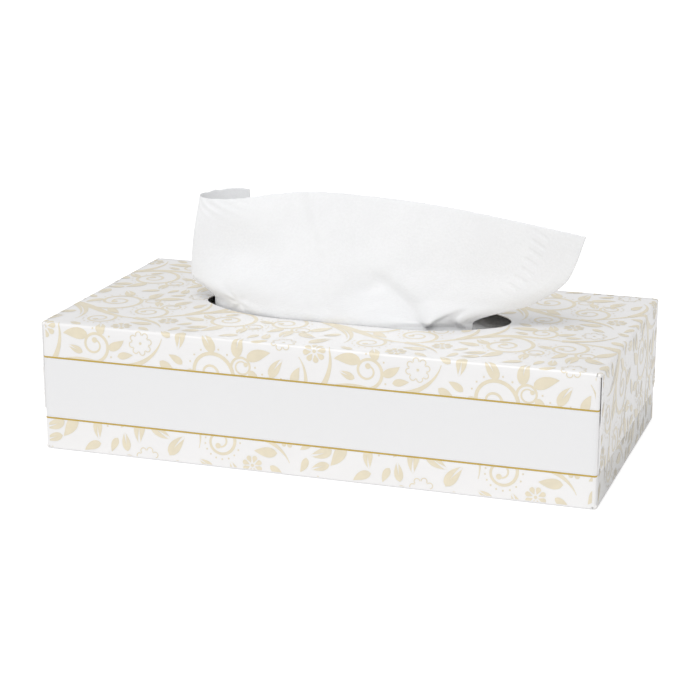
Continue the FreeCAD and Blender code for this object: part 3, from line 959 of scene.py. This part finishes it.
@dataclass
class PrintedCarton:
    """The paperboard carton: its board, the printed scroll and the gold lines."""

    sizes: CartonSizes = field(default_factory=CartonSizes)
    board: CoatedBoard = CoatedBoard()
    scroll_ink: PrintInk = PrintInk("scroll_ink", srgb(230, 220, 196))
    # darker copy of the scroll ink for the bottom flaps under the top flaps: painted shade
    painted_shade_ink: PrintInk = PrintInk("scroll_ink_painted_shade", srgb(208, 199, 178))
    gold_ink: PrintInk = PrintInk("gold_ink", srgb(196, 165, 66), Coat(0.3), 0.4, False)
    web_ink: PrintInk = PrintInk("web_board", srgb(240, 238, 236), fold_rounded=False)
    gold_width: float = 0.65
    fold_steps: int = 6
    layer_step: float = 0.004
    mouth_margin: float = 0.05
    flap_print: Flat = (1.6, 2.0)
    web_radius: float = 1.0
    web_insets: Flat = (1.45, 1.15)
    web_shifts: Flat = (0.15, 0.05)

    def dress_board(self) -> None:
        """Gives the carton's board its finish."""
        set_material(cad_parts["carton"], self.board.material(self.sizes))

    def round_fold(self, run: float, flat_end: float) -> tuple[float, float]:
        """How far out and how far down a flat length lies that runs over a fold.

        Args:
            run: Flat length from the panel's middle.
            flat_end: Where the panel ends and the fold starts.

        Returns:
            Its distance from the middle and its depth below the panel.
        """
        radius = self.sizes.fold
        arc = radius * math.pi / 2
        lifted = radius + self.sizes.ink_lift
        past = run - flat_end
        if past <= 0:
            return run, 0.0
        if past >= arc:
            return flat_end + lifted, past - arc + radius
        angle = past / radius
        down = radius - lifted * math.cos(angle) + self.sizes.ink_lift
        return flat_end + lifted * math.sin(angle), down

    def over_fold(self, run: float, half: float, lift: float) -> Flat:
        """Where a flat length from the top panel's middle comes to lie.

        Args:
            run: The flat length, with its side's sign.
            half: Half the folded box's size that way.
            lift: How far the ink's layer stands off.

        Returns:
            Its distance from the middle and its height.
        """
        s = self.sizes
        out, down = self.round_fold(abs(run), half - s.fold)
        steep = min(1.0, down / s.fold)
        height = s.height + s.ink_lift + lift * (1 - steep) - down
        return math.copysign(out + lift * steep, run), height

    def on_sleeve(self, flat: Flat, lift: float) -> Vector:
        """A point of the flat blank on the folded sleeve: its middle strip is the top panel."""
        return Vector((flat[0], *self.over_fold(flat[1], self.sizes.half_width, lift)))

    def on_flap(self, flat: Flat, lift: float) -> Vector:
        """A point of the flat blank on the top panel's end and the flap that hangs from it."""
        out, height = self.over_fold(flat[0], self.sizes.half_length, lift)
        return Vector((out, flat[1], height))

    def on_bottom_flap(self, side: float) -> Callable[[Flat, float], Vector]:
        """The way on to the flap that stands up from the bottom at one end.

        Args:
            side: 1 for the right end, -1 for the left.

        Returns:
            A function from a flat point and an ink layer's lift to its place.
        """
        face = self.sizes.half_length - self.sizes.board + self.sizes.ink_lift

        def place(flat: Flat, lift: float) -> Vector:
            """A point of the flap."""
            return Vector((side * (face + lift), side * flat[0], flat[1]))

        return place

    def fold_lines(self, flat_end: float) -> list[float]:
        """Where the print is divided so that it bends round a fold."""
        arc = self.sizes.fold * math.pi / 2
        return [flat_end + arc * i / self.fold_steps for i in range(self.fold_steps + 1)]

    def divide(self, faces: list[Face], places: Sequence[float], axis: int) -> list[Face]:
        """Divides faces along straight lines across one axis, on both sides of zero.

        Args:
            faces: Convex faces.
            places: Where the lines cross the axis.
            axis: 0 for the flat length, 1 for the flat width.

        Returns:
            The divided faces.
        """
        for place in [*places, *[-p for p in places]]:
            a = (place, 0.0) if axis == 0 else (0.0, place)
            b = (place, 1.0) if axis == 0 else (1.0, place)
            pieces = []
            for face in faces:
                pieces += [part for part in split(face, a, b) if len(part) > 2]
            faces = pieces
        return faces

    def scroll(self) -> bpy.types.Object:
        """Lays the printed scroll on the carton.

        Returns:
            The piece.
        """
        s = self.sizes
        print_run = ScrollPrint()
        print_run.draw()
        width_end = s.half_width - s.fold
        length_end = s.half_length - s.fold
        arc = s.fold * math.pi / 2
        wall_end = width_end + arc + s.height - s.fold * 2
        flap_end = length_end + arc + s.height - s.fold - s.top_flap_edge
        low, high = (
            width_end + arc + s.height - s.fold - level for level in reversed(s.band_levels)
        )
        mouth = s.mouth(grow=self.mouth_margin)
        least_area = 1e-4
        points: list[Vector] = []
        faces: list[list[int]] = []

        def lay(flat_faces: list[Face], layer: int, place: Callable[[Flat, float], Vector]) -> None:
            """Adds flat faces to the mesh at their place on the carton.

            Args:
                flat_faces: The faces.
                layer: Their layer in the print.
                place: The way from the flat blank on to the carton.
            """
            for face in flat_faces:
                area = sum(a[0] * b[1] - b[0] * a[1] for a, b in zip(face, [*face[1:], face[0]]))
                if abs(area) < least_area:
                    continue
                first, lift = len(points), layer * self.layer_step
                points.extend(place(corner, lift) for corner in (face if area > 0 else face[::-1]))
                faces.append(list(range(first, len(points))))

        for layer, found in print_run.tiled(-flap_end, -wall_end, flap_end, wall_end).items():
            sleeve = inside_of(found, box_outline(-s.sleeve_end, -wall_end, s.sleeve_end, wall_end))
            for side in (-1, 1):
                near, far = sorted((side * low, side * high))
                sleeve = outside_of(sleeve, box_outline(-s.half_length, near, s.half_length, far))
            sleeve = outside_of(sleeve, mouth)
            lay(self.divide(sleeve, self.fold_lines(width_end), 1), layer, self.on_sleeve)
            half, trim = s.flap_half_width, s.flap_trim
            for side in (-1, 1):
                outline = [
                    (s.sleeve_end, -half), (flap_end - trim, -half), (flap_end, trim - half),
                    (flap_end, half - trim), (flap_end - trim, half), (s.sleeve_end, half),
                ]
                if side < 0:
                    outline = [(-x, -y) for x, y in outline]
                flap = inside_of(found, outline)
                lay(self.divide(flap, self.fold_lines(length_end), 0), layer, self.on_flap)
        # the scroll on the bottom flaps takes the darker ink: painted shade of the top flaps over
        # them
        painted_shade_from = len(faces)
        inner = s.flap_half_width - s.board
        foot, tuck = self.flap_print
        for layer, found in print_run.tiled(-inner, foot, inner, s.top_flap_edge + tuck).items():
            for side in (-1.0, 1.0):
                lay(found, layer, self.on_bottom_flap(side))
        piece = mesh_piece("printed_scroll", points, faces)
        set_material(piece, self.scroll_ink.material())
        piece.data.materials.append(self.painted_shade_ink.material())
        for polygon in piece.data.polygons[painted_shade_from:]:
            polygon.material_index = 1
        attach(piece, "root")
        return piece

    def corner_webs(self) -> bpy.types.Object:
        """Puts the rounded bit of board in each corner, where three folds meet.

        Returns:
            The piece.
        """
        s = self.sizes
        (inset_x, inset_y), (low, high) = self.web_insets, self.web_shifts
        deselect_all()
        webs = []
        for side_x, side_y, z in product(
            (-1, 1), (-1, 1), (s.fold + low, s.height - s.fold - high)
        ):
            place = (side_x * (s.half_length - inset_x), side_y * (s.half_width - inset_y), z)
            place = [c * MM for c in place]
            bpy.ops.mesh.primitive_uv_sphere_add(
                segments=20, ring_count=12, radius=self.web_radius * MM, location=place
            )
            webs.append(bpy.context.active_object)
            bpy.ops.object.transform_apply(location=True, rotation=True, scale=True)
            bpy.ops.object.shade_smooth()
        make_active(webs[0])
        for web in webs:
            web.select_set(True)
        bpy.ops.object.join()
        piece = bpy.context.active_object
        piece.name = "corner_webs"
        set_material(piece, self.web_ink.material())
        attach(piece, "root")
        return piece

    def gold_lines(self) -> bpy.types.Object:
        """Lays the gold lines along front and back and round the corners on to the dust flaps.

        Returns:
            The piece.
        """
        s = self.sizes
        lifted = s.fold + s.ink_lift * 3  # clear of the scroll's layers
        corner = (s.half_length - s.board * 2 - s.fold, s.fold - s.half_width)
        turns = [math.pi / 2 * (step / self.fold_steps - 1) for step in range(self.fold_steps + 1)]
        right_end = [
            *(ahead(corner, turn, lifted) for turn in turns),
            (corner[0] + lifted, -s.flap_half_width),
        ]
        plan = [(-x, y) for x, y in reversed(right_end)] + right_end
        points: list[Vector] = []
        faces: list[list[int]] = []
        for mirrored in (1, -1):
            for level in s.band_levels:
                first = len(points)
                for x, y in plan:
                    points.append(Vector((x * mirrored, y * mirrored, level - self.gold_width / 2)))
                    points.append(Vector((x * mirrored, y * mirrored, level + self.gold_width / 2)))
                for i in range(len(plan) - 1):
                    a = first + 2 * i
                    faces.append([a, a + 2, a + 3, a + 1])
        piece = mesh_piece("gold_lines", points, faces)
        set_material(piece, self.gold_ink.material())
        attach(piece, "root")
        return piece


def smooth_through(knots: Sequence[float], values: Sequence[float], at: float) -> float:
    """A smooth curve through values at knots that never swings past them.

    Args:
        knots: Where the values stand.
        values: The values.
        at: Where to read the curve.

    Returns:
        The curve's value there.
    """
    steps = [b - a for a, b in zip(knots, knots[1:])]
    rates = [(b - a) / step for a, b, step in zip(values, values[1:], steps)]
    slopes = [rates[0]]
    for left, right in zip(rates, rates[1:]):
        slopes.append(2 * left * right / (left + right) if left * right > 0 else 0.0)
    slopes.append(rates[-1])
    at = min(max(at, knots[0]), knots[-1])
    i = min(sum(1 for knot in knots[1:] if knot < at), len(steps) - 1)
    part = (at - knots[i]) / steps[i]
    rise = values[i + 1] - values[i]
    start, end = slopes[i] * steps[i], slopes[i + 1] * steps[i]
    bend = 3 * rise - 2 * start - end + part * (start + end - 2 * rise)
    return values[i] + part * (start + part * bend)


def points_between(points: Sequence[Vector], steps: int) -> list[Vector]:
    """The points with evenly spaced ones between them, on a curve that passes through all of them.

    Args:
        points: The given points.
        steps: How many pieces each stretch gets.

    Returns:
        All the points.
    """
    out = []
    last = len(points) - 1
    for i in range(last):
        before, here = points[max(i - 1, 0)], points[i]
        there, after = points[i + 1], points[min(i + 2, last)]
        for k in range(steps):
            part = k / steps
            bend = (there - before) * part
            bend += (before * 2 - here * 5 + there * 4 - after) * part ** 2
            bend += (here * 3 - before - there * 3 + after) * part ** 3
            out.append(here + bend * 0.5)
    return [*out, points[-1]]


def soft_step(value: float, place: float, soft: float) -> float:
    """A soft step from 0 to 1 at a place, or from 1 to 0 where its softness is negative."""
    return 1 / (1 + math.exp((place - value) / soft))


def bell(value: float, middle: float, wide: float, wide_after: float | None = None) -> float:
    """A soft hump of height 1, of another width past its middle if one is given."""
    reach = wide_after if wide_after and value > middle else wide
    return math.exp(-(((value - middle) / reach) ** 2))


@dataclass
class SoftSheet:
    """A soft sheet given by rows of points, with its own flat coordinates."""

    name: str
    thick: float = 0.3
    points: list[Vector] = field(default_factory=list)
    flat: list[Flat] = field(default_factory=list)
    faces: list[list[int]] = field(default_factory=list)

    def add_grid(
        self, rows: Sequence[Sequence[Vector]], from_end: bool, start: float = 0.0
    ) -> None:
        """Adds a grid of points as part of the sheet.

        Args:
            rows: Its rows of points, in millimetres.
            from_end: Whether the flat length along a row counts from its last point.
            start: Flat height of the first row.
        """
        first = len(self.points)
        width = len(rows[0])
        heights = [start] * width
        for i, row in enumerate(rows):
            if i:
                heights = [h + (p - q).length for h, p, q in zip(heights, row, rows[i - 1])]
            runs = [0.0]
            for a, b in zip(row, row[1:]):
                runs.append(runs[-1] + (b - a).length)
            if from_end:
                runs = [runs[-1] - run for run in runs]
            self.points += row
            self.flat += list(zip(runs, heights))
        for i in range(len(rows) - 1):
            for j in range(width - 1):
                a = first + i * width + j
                self.faces.append([a, a + 1, a + 1 + width, a + width])

    def build(self, material: bpy.types.Material) -> bpy.types.Object:
        """Makes the sheet: mesh, flat map, thickness and finish.

        Args:
            material: Its finish.

        Returns:
            The piece.
        """
        piece = mesh_piece(self.name, self.points, self.faces)
        layer = piece.data.uv_layers.new(name="sheet")
        for loop in piece.data.loops:
            u, v = self.flat[loop.vertex_index]
            layer.data[loop.index].uv = (u * MM, v * MM)
        make_active(piece)
        solid = piece.modifiers.new("ply", "SOLIDIFY")
        solid.thickness = self.thick * MM
        solid.offset = 0.0
        bpy.ops.object.modifier_apply(modifier=solid.name)
        bpy.ops.object.shade_smooth()
        set_material(piece, material)
        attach(piece, "root")
        return piece


@dataclass
class LeadTissue:
    """The tissue in the mouth: one leaf lies on the stack, the other stands and wraps round itself.

    Its paths go from the wrapped end behind, round the left side and along the front to the free
    right edge. Beside the mouth they are in parts of the mouth's half length and half width, above
    it in parts of half the spread and of the mouth's half width. Places along the sheet count its
    given points, and levels are parts of the rise. An upright fold has its push in millimetres, its
    place at the top edge, its lean and its width on either side. A swell has its push, place,
    width, level and height.
    """

    mouth_path: tuple[Flat, ...] = (
        (-0.62, 0.36), (-0.76, 0.38), (-0.875, 0.22), (-0.945, -0.05), (-0.87, -0.44),
        (-0.69, -0.72), (-0.45, -0.9), (-0.18, -0.93), (0.09, -0.94), (0.33, -0.92),
        (0.54, -0.83), (0.69, -0.66), (0.8, -0.455),
    )
    shoulder_path: tuple[Flat, ...] = (
        (-0.49, 0.5), (-0.655, 0.52), (-0.8, 0.33), (-0.87, 0.0), (-0.8, -0.38),
        (-0.63, -0.6), (-0.42, -0.71), (-0.18, -0.75), (0.07, -0.71), (0.29, -0.65),
        (0.51, -0.54), (0.725, -0.42), (0.91, -0.27),
    )
    middle_path: tuple[Flat, ...] = (
        (-0.515, 0.58), (-0.665, 0.58), (-0.805, 0.35), (-0.86, 0.0), (-0.795, -0.29),
        (-0.61, -0.4), (-0.385, -0.46), (-0.14, -0.48), (0.12, -0.44), (0.36, -0.4),
        (0.62, -0.35), (0.865, -0.33), (1.085, -0.33),
    )
    top_path: tuple[Flat, ...] = (
        (-0.54, 0.58), (-0.665, 0.56), (-0.785, 0.33), (-0.83, 0.04), (-0.77, -0.21),
        (-0.6, -0.23), (-0.36, -0.21), (-0.12, -0.21), (0.14, -0.23), (0.4, -0.27),
        (0.67, -0.33), (0.925, -0.42), (1.17, -0.5),
    )
    top_edge: tuple[float, ...] = (
        0.87, 0.88, 0.885, 0.88, 0.89, 0.945, 0.98, 1.0, 0.99, 0.965, 0.92, 0.87, 0.815,
    )
    levels: tuple[float, ...] = (0.0, 0.03, 0.22, 0.5, 1.0)
    soft_folds: tuple[tuple[float, float, float], ...] = ((4.3, 0.8, 0.75), (7.1, 2.1, 0.25))
    fold_depth: float = 1.2
    path_step: float = 13.0
    crease: tuple[Flat, ...] = (
        (109.0, 16.6), (114.4, 12.6), (121.6, 7.0), (127.6, 1.4), (133.0, -4.0),
    )
    dent: tuple[Flat, ...] = ((127.0, -5.0), (155.0, -5.0), (137.5, 8.6))
    crease_depth: float = 3.6
    upright_folds: tuple[tuple[float, ...], ...] = (
        (1.9, 6.6, 1.1, 0.17, 0.5), (-1.7, 7.5, 0.55, 0.28, 0.85),
    )
    swells: tuple[tuple[float, ...], ...] = (
        (-2.0, 5.3, 0.55, 0.47, 0.2), (0.9, 5.2, 0.7, 0.86, 0.15),
        (1.7, 6.3, 0.65, 0.18, 0.12), (1.1, 4.6, 0.35, 0.14, 0.06),
    )
    first_column: int = 14
    pinch: Flat = (65.5, 4.0)
    rise: float = 51.0
    spread: float = 171.0
    root: float = 45.85
    leaf_length: float = 208.0
    leaf_width: float = 106.0
    steps: int = 20
    rows_above: int = 92
    rows_below: int = 6
    leaf_start: float = 100.0
    seed: int = 5
    finish: SoftTissue = SoftTissue()

    def detail(self, at: float, level: float) -> float:
        """How far folds, creases and wrinkles push the sheet out of its smooth shape.

        Args:
            at: Place along the path, counted in its given points.
            level: Height above the top panel as a part of the rise.

        Returns:
            The push along the sheet's normal, in millimetres.
        """
        along, up = at * self.path_step, level * self.rise
        push = 0.0
        for out, top, lean, before, after in self.upright_folds:
            push += out * bell(at, top + (1 - level) * lean, before, after) * min(1.0, level / 0.3)
        for out, place, wide, middle, tall in self.swells:
            push += out * bell(at, place, wide) * bell(level, middle, tall)
        push -= self.creased(along, up, self.crease) * self.crease_depth
        push -= self.dented(along, up)
        # small pleats that run out of the pinch at the rim
        away = math.hypot(along - self.pinch[0], up - self.pinch[1])
        bearing = math.atan2(up - self.pinch[1], along - self.pinch[0])
        pleats = math.cos(bearing * 5.0 + away * 0.25)
        push += 0.3 * bell(away, 0.0, 7.0) * min(1.0, away / 3.0) * pleats
        # fine wrinkles below the upper left corner
        push += (
            0.3 * bell(at, 4.3, 0.7) * bell(level, 0.93, 0.12) * math.sin(along * 0.9 + up * 1.3)
        )
        push += self.at_rim(at) * (bell(level, 0.02, 0.05) if level > 0.02 else 1.0)
        return push

    @staticmethod
    def at_rim(at: float) -> float:
        """How far the sheet lies out against the mouth's front rim, in millimetres."""
        front = soft_step(at, 5.0, 0.15) * soft_step(at, 11.2, -0.2)
        return front * (1.0 + 0.14 * math.sin(at * 5.1 + 0.7) + 0.08 * math.sin(at * 11.3))

    @staticmethod
    def creased(along: float, up: float, line: Sequence[Flat]) -> float:
        """A crease along a bent line: steep on its left, gentle on its right.

        Args:
            along: Place along the sheet, in millimetres.
            up: Place up the sheet.
            line: The line's points.

        Returns:
            Its depth, from 0 to 1.
        """
        steep, gentle, fade = 2.3, 7.5, 5.0
        nearest, depth, last = 1e9, 0.0, len(line) - 2
        for i, ((x0, y0), (x1, y1)) in enumerate(zip(line, line[1:])):
            dx, dy = x1 - x0, y1 - y0
            size = math.hypot(dx, dy)
            part = ((along - x0) * dx + (up - y0) * dy) / size ** 2
            held = min(max(part, 0.0), 1.0)
            away = math.hypot(along - x0 - held * dx, up - y0 - held * dy)
            if away < nearest:
                nearest = away
                side = ((along - x0) * dy - (up - y0) * dx) / size
                past_end = (part < 0 and i == 0) or (part > 1 and i == last)
                spent = abs(part - held) * size if past_end else 0.0
                depth = bell(side, 0.0, steep, gentle) * bell(spent, 0.0, fade)
        return depth

    def dented(self, along: float, up: float) -> float:
        """Depth of the small three-cornered dent at the rim, deepest at its foot.

        Args:
            along: Place along the sheet, in millimetres.
            up: Height above the rim.

        Returns:
            The depth, in millimetres.
        """
        inside, slope, soft = 1.0, 0.4, 0.4
        for (x0, y0), (x1, y1) in zip(self.dent, [*self.dent[1:], self.dent[0]]):
            depth = (
                (x1 - x0) * (up - y0) - (y1 - y0) * (along - x0)
            ) / math.hypot(x1 - x0, y1 - y0)
            inside *= soft_step(depth, 0.0, soft)
        return inside * slope * max(0.0, self.dent[2][1] - up)

    def top_of(self, at: float, given: float) -> float:
        """The upper edge's height, with its dip, the wrapped end's rise and its crinkle."""
        crinkle = math.sin(at * 7.0 + 1.5 * math.sin(at * 3.0)) * bell(at, 1.5, 2.0)
        return given - 0.05 * bell(at, 5.0, 0.85) + 0.025 * bell(at, 0.9, 1.2) + 0.004 * crinkle

    def level_of(self, row: int) -> float:
        """The level of a row, counted from the top panel: closer together near the rim."""
        return (max(row, 0) / self.rows_above) ** 1.25

    def plain_rows(self) -> list[list[Vector]]:
        """The standing leaf's smooth shape, from its root on the stack to its free edge.

        Returns:
            Its rows of points.
        """
        sizes = CartonSizes()
        halves = (sizes.mouth_half_length,) * 2 + (self.spread / 2,) * 3
        given = (
            self.mouth_path, self.mouth_path, self.shoulder_path, self.middle_path, self.top_path,
        )
        deep = sizes.mouth_half_width
        paths = [
            points_between([Vector((x * half, y * deep, 0.0)) for x, y in path], self.steps)
            for path, half in zip(given, halves)
        ]
        edge = points_between([Vector((0.0, 0.0, part)) for part in self.top_edge], self.steps)
        tops = [self.top_of(j / self.steps, point.z) for j, point in enumerate(edge)]
        rows = []
        for i in range(self.rows_below):
            height = self.root + (sizes.height - 0.2 - self.root) * i / self.rows_below
            rows.append([Vector((p.x, p.y, height)) for p in paths[0]])
        rng = random.Random(self.seed)
        ragged = [0.12 * rng.uniform(-1, 1) for _ in tops]
        for i in range(self.rows_above + 1):
            level = self.level_of(i)
            row = []
            for j, top in enumerate(tops):
                x = smooth_through(self.levels, [path[j].x for path in paths], level)
                y = smooth_through(self.levels, [path[j].y for path in paths], level)
                z = (
                    sizes.height
                    + self.rise * level * (1 + (top - 1) * level)
                    + ragged[j] * level ** 12
                )
                row.append(Vector((x, y, z)))
            rows.append(row)
        return rows

    def rows(self) -> list[list[Vector]]:
        """The standing leaf's points, with its folds, creases and wrinkles.

        Returns:
            Its rows of points.
        """
        rows = self.plain_rows()
        moved = [rows[0]]
        last = len(rows[0]) - 1
        for i, row in list(enumerate(rows))[1:]:
            above = i - self.rows_below
            level = self.level_of(above)
            up, down = rows[min(i + 1, len(rows) - 1)], rows[i - 1]
            reach = self.fold_depth * 0.6 * math.sin(math.pi * level) * (1 - level / 2)
            out = []
            for j, point in enumerate(row):
                at = j / self.steps
                along = row[min(j + 1, last)] - row[max(j - 1, 0)]
                normal = along.cross(up[j] - down[j]).normalized()
                turn = 2 * math.pi * j / last
                push = reach * sum(
                    part * math.sin(n * turn + phase) for n, phase, part in self.soft_folds
                )
                if above < 0:
                    rim = self.at_rim(at) - self.dented(at * self.path_step, 0.0)
                    push += rim * (i / self.rows_below) ** 2
                else:
                    push += self.detail(at, level)
                out.append(point + normal * push)
            moved.append(out)
        return moved

    def build(self) -> bpy.types.Object:
        """Builds the tissue and puts it in the place of its CAD solid.

        Returns:
            The piece.
        """
        sheet = SoftSheet("lead_tissue_soft")
        columns, lines, ripple = 60, 30, 0.04
        leaf = []
        for i in range(lines + 1):
            y = self.leaf_width * (i / lines - 0.5)
            row = []
            for j in range(columns + 1):
                x = self.leaf_length * (j / columns - 0.5)
                lift = ripple * math.sin(x * 0.11) * math.sin(y * 0.17 + 1.0)
                row.append(Vector((x, y, self.root + lift)))
            leaf.append(row)
        sheet.add_grid(leaf, False, self.leaf_start)
        sheet.add_grid([row[self.first_column :] for row in self.rows()], True)
        piece = sheet.build(self.finish.material("lead_tissue_paper"))
        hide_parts("lead_tissue")
        return piece


@dataclass
class NextTissue:
    """The next tissue: a leaf folded at its front edge, drawn up a little under the mouth."""

    length: float = 208.0
    back: float = 53.0
    middle: float = 46.37
    layer_gap: float = 0.22
    rise: float = 5.0
    sizes: CartonSizes = CartonSizes()
    finish: SoftTissue = SoftTissue(dashes=False)

    def front(self, x: float) -> float:
        """Where the fold lies at a place along the box: further back at the mouth's left end."""
        step = soft_step(x / (2 * self.sizes.mouth_half_length), -0.21, -0.0373)
        return (0.51 * step - 0.1) * 2 * self.sizes.mouth_half_width

    def height(self, x: float, y: float) -> float:
        """The crest's height above the stack at a place."""
        along = math.exp(-((x / self.length - 0.06) / 0.21) ** 4)
        return self.rise * along * bell(y / (2 * self.sizes.mouth_half_width), 0.05, 0.2)

    def build(self, lead: bpy.types.Object) -> bpy.types.Object:
        """Builds the tissue and puts it in the place of its CAD solid.

        Args:
            lead: The tissue it lies on. Not used.

        Returns:
            The piece.
        """
        columns, lines, turns = 104, 26, 4
        half_gap = self.layer_gap / 2
        rows = []
        for i in range(lines * 2 + turns + 1):
            row = []
            for j in range(columns + 1):
                x = -self.length / 2 + self.length * j / columns
                front = self.front(x) + half_gap
                if i < lines:
                    y, lift = self.back + (front - self.back) * i / lines, half_gap
                elif i > lines + turns:
                    y, lift = front + (self.back - front) * (i - lines - turns) / lines, -half_gap
                else:
                    angle = math.pi * (i - lines) / turns
                    y, lift = front - half_gap * math.sin(angle), half_gap * math.cos(angle)
                ripple = 0.02 * math.sin(x * 0.21 + y * 0.13)
                row.append(Vector((x, y, self.middle + self.height(x, y) + lift + ripple)))
            rows.append(row)
        sheet = SoftSheet("next_tissue_soft", thick=0.1)
        sheet.add_grid(rows, False)
        piece = sheet.build(self.finish.material("next_tissue_paper"))
        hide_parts("next_tissue")
        return piece


@dataclass
class TissueStack:
    """The folded stack that stays in the carton."""

    finish: FoldedStack = FoldedStack()

    def dress(self) -> None:
        """Gives the stack its finish."""
        set_material(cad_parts["tissue_stack"], self.finish.material())


@dataclass
class Studio:
    """White floor and surroundings, soft light from the front and above, and the photo's camera."""

    ambient: float = 0.6
    key: float = 1.36
    key_from: tuple[float, float, float] = (-0.02, -0.22, 0.335)
    key_soft: float = 36.0
    place: tuple[float, float, float] = (0.2581, -0.7947, 0.2760)
    right: tuple[float, float, float] = (0.9498, 0.3129, 0.0031)
    back: tuple[float, float, float] = (0.3001, -0.9135, 0.2747)
    lens: float = 104.85
    sensor: float = 36.0
    floor_size: float = 12.0
    floor_tone: float = 0.93
    glow: float = 2.6
    glow_share: float = 0.2

    def surroundings(self) -> None:
        """White to the camera, plain soft light to everything else."""
        world = bpy.data.worlds.new("soft_white")
        bpy.context.scene.world = world
        world.use_nodes = True
        nodes, links = world.node_tree.nodes, world.node_tree.links
        ground = nodes["Background"]
        ground.inputs["Color"].default_value = (1.0, 1.0, 1.0, 1.0)
        ground.inputs["Strength"].default_value = self.ambient
        white = nodes.new("ShaderNodeBackground")
        white.inputs["Color"].default_value = (1.0, 1.0, 1.0, 1.0)
        path = nodes.new("ShaderNodeLightPath")
        mix = nodes.new("ShaderNodeMixShader")
        links.new(path.outputs["Is Camera Ray"], mix.inputs[0])
        links.new(ground.outputs[0], mix.inputs[1])
        links.new(white.outputs[0], mix.inputs[2])
        links.new(mix.outputs[0], nodes["World Output"].inputs["Surface"])

    def floor(self) -> bpy.types.Object:
        """A wide white floor that keeps a faint shadow.

        Returns:
            The floor.
        """
        deselect_all()
        bpy.ops.mesh.primitive_plane_add(size=self.floor_size, location=(0.0, 0.0, 0.0))
        floor = bpy.context.active_object
        floor.name = "studio_floor"
        shader = Shader("studio_white")
        shader.finish(Base_Color=(self.floor_tone,) * 3, Roughness=1.0, Specular_IOR_Level=0.0)
        seen = shader.node("ShaderNodeLightPath", {}, {}, "Is Camera Ray")
        glow = shader.node("ShaderNodeEmission", {}, {"Strength": self.glow})
        plain = Signal(shader, shader.surface.outputs[0])
        mixed = shader.node(
            "ShaderNodeMixShader", {}, {0: seen * self.glow_share, 1: plain, 2: glow}
        )
        shader.feed(shader.nodes["Material Output"].inputs["Surface"], mixed)
        set_material(floor, shader.material)
        return floor

    def lamp(self) -> None:
        """One large soft key light."""
        light = bpy.data.lights.new("key", "SUN")
        light.energy = self.key
        light.angle = math.radians(self.key_soft)
        lamp = bpy.data.objects.new("key", light)
        bpy.context.scene.collection.objects.link(lamp)
        lamp.rotation_euler = Vector(self.key_from).to_track_quat("Z", "Y").to_euler()

    def camera(self) -> None:
        """The photo's camera."""
        right, back = Vector(self.right).normalized(), Vector(self.back).normalized()
        up = back.cross(right).normalized()
        right = up.cross(back)
        turn = Matrix((right, up, back)).transposed().to_4x4()
        data = bpy.data.cameras.new("photo_camera")
        data.lens = self.lens
        data.sensor_width = self.sensor
        camera = bpy.data.objects.new("photo_camera", data)
        camera.matrix_world = Matrix.Translation(self.place) @ turn
        bpy.context.scene.collection.objects.link(camera)
        bpy.context.scene.camera = camera

    def build(self) -> None:
        """Sets up the whole studio."""
        self.surroundings()
        self.floor()
        self.lamp()
        self.camera()
        bpy.context.scene.view_settings.view_transform = "Standard"


def report(piece: bpy.types.Object) -> None:
    """Logs a finished piece with its number of faces."""
    LOG.info("%s: %d faces", piece.name, len(piece.data.polygons))


def main() -> None:
    """Builds the tissue box's looks, piece by piece."""
    logging.basicConfig(level=logging.INFO)
    carton = PrintedCarton()
    carton.dress_board()
    report(carton.scroll())
    report(carton.gold_lines())
    report(carton.corner_webs())
    TissueStack().dress()
    lead = LeadTissue().build()
    report(lead)
    report(NextTissue().build(lead))
    Studio().build()


if __name__ == "__main__":
    main()
